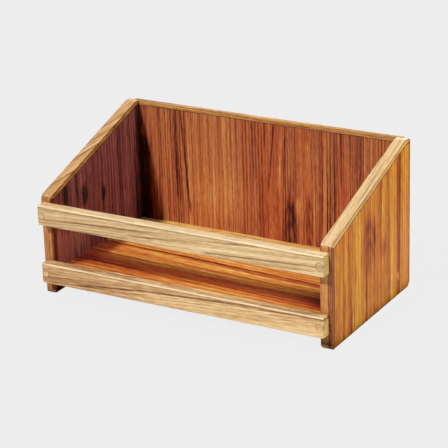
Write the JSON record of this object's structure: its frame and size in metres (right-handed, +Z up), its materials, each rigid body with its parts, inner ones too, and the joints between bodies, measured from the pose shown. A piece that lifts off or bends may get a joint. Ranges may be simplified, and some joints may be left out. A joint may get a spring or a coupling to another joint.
{
  "type": "toast rack",
  "caption": "Open wooden rack with sloping rounded side panels, a back panel, a raised shelf and two front rails with an open slot between them.",
  "frame": {"origin": "on the floor under the middle of the rack's outer box", "axes": "+X to the right along the rails, +Y to the back panel, +Z up"},
  "size_m": [0.4, 0.229, 0.1945],
  "materials": {
    "veneer_sides": "oiled teak veneer, upright grain, golden brown with red streaks",
    "veneer_back": "oiled teak veneer, upright grain, reddish brown with dark lines",
    "shelf_teak": "oiled teak, lengthwise grain, orange and red bands",
    "rail_teak": "oiled pale teak, fine lengthwise grain, rounded edges",
    "lipping_teak": "oiled pale teak strip, grain along its length",
    "plug_teak": "teak plug sanded flush",
    "dowel_beech": "plain, hidden in the joints",
    "brass_fasteners": "satin"
  },
  "bodies": {
    "root": {"left_side_panel": "veneer_sides", "right_side_panel": "veneer_sides", "left_front_lipping": "lipping_teak", "right_front_lipping": "lipping_teak", "left_slope_lipping": "lipping_teak", "right_slope_lipping": "lipping_teak", "bottom_shelf": "shelf_teak", "back_panel": "veneer_back", "back_top_lipping": "lipping_teak", "upper_front_rail": "rail_teak", "lower_front_rail": "rail_teak", "rail_screws": "brass_fasteners", "rail_plugs": "plug_teak", "shelf_dowels": "dowel_beech", "back_panel_pins": "brass_fasteners"}
  },
  "joints": []
}
